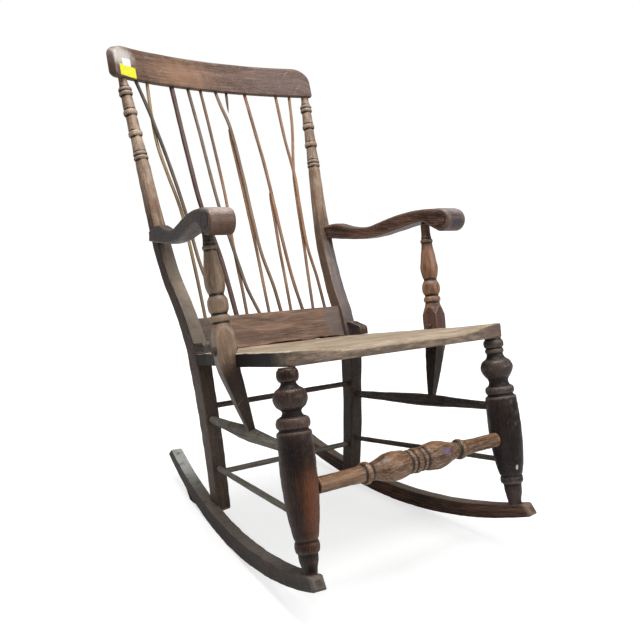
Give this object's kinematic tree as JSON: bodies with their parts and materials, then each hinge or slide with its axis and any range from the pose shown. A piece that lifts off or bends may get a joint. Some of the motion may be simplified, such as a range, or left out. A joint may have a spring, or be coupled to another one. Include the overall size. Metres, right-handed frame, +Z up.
{
  "type": "rocking chair",
  "caption": "Wooden stick-back rocking armchair with a bowed crest rail, scooped plank seat, scrolled arms, turned legs and thin crossing back sticks, two of them broken.",
  "frame": {"origin": "on the floor under the middle of the chair's bounding box", "axes": "+Z up, -Y the way the sitter faces, +X the sitter's left"},
  "size_m": [0.6134, 0.9284, 0.9999],
  "materials": {
    "rocker": "worn grey-brown stain",
    "rear_post": "worn brown stain over grey wood",
    "crest": "dark red-brown stain, scuffed",
    "seat": "bare worn wood, dark at the edges",
    "front_leg": "dark red-brown stain",
    "front_stretcher": "golden worn wood",
    "arm": "dark stain worn to wood on the scrolls",
    "rod": "dusty dark wood",
    "stick_dark": "grey worn wood",
    "stick_light": "orange-tan worn wood",
    "wedge": "dark dirty wood"
  },
  "bodies": {
    "root": {"rocker_left": "rocker", "rocker_right": "rocker", "rear_post_left": "rear_post", "rear_post_right": "rear_post", "crest_rail": "crest", "back_board": "crest", "seat": "seat", "seat_cleat_left": "seat", "seat_cleat_right": "seat", "front_leg_left": "front_leg", "front_leg_right": "front_leg", "front_stretcher": "front_stretcher", "arm_left": "arm", "arm_right": "arm", "arm_post_left": "arm", "arm_post_right": "arm", "arm_peg_left": "arm", "arm_peg_right": "arm", "side_stretcher_upper_left": "rod", "side_stretcher_upper_right": "rod", "side_stretcher_lower_left": "rod", "side_stretcher_lower_right": "rod", "back_stretcher_upper": "rod", "back_stretcher_lower": "rod", "back_stick_1": "stick_dark", "back_stick_2": "stick_dark", "back_stick_3": "stick_dark", "back_stick_4": "stick_dark", "back_stick_5": "stick_light", "back_stick_6": "stick_light", "back_stick_7": "stick_light", "back_stick_8": "stick_light", "back_stick_9": "stick_light", "back_stick_10": "stick_light", "back_stick_11": "stick_light", "back_stick_7_stump": "stick_light", "rocker_wedge": "wedge"}
  },
  "joints": []
}
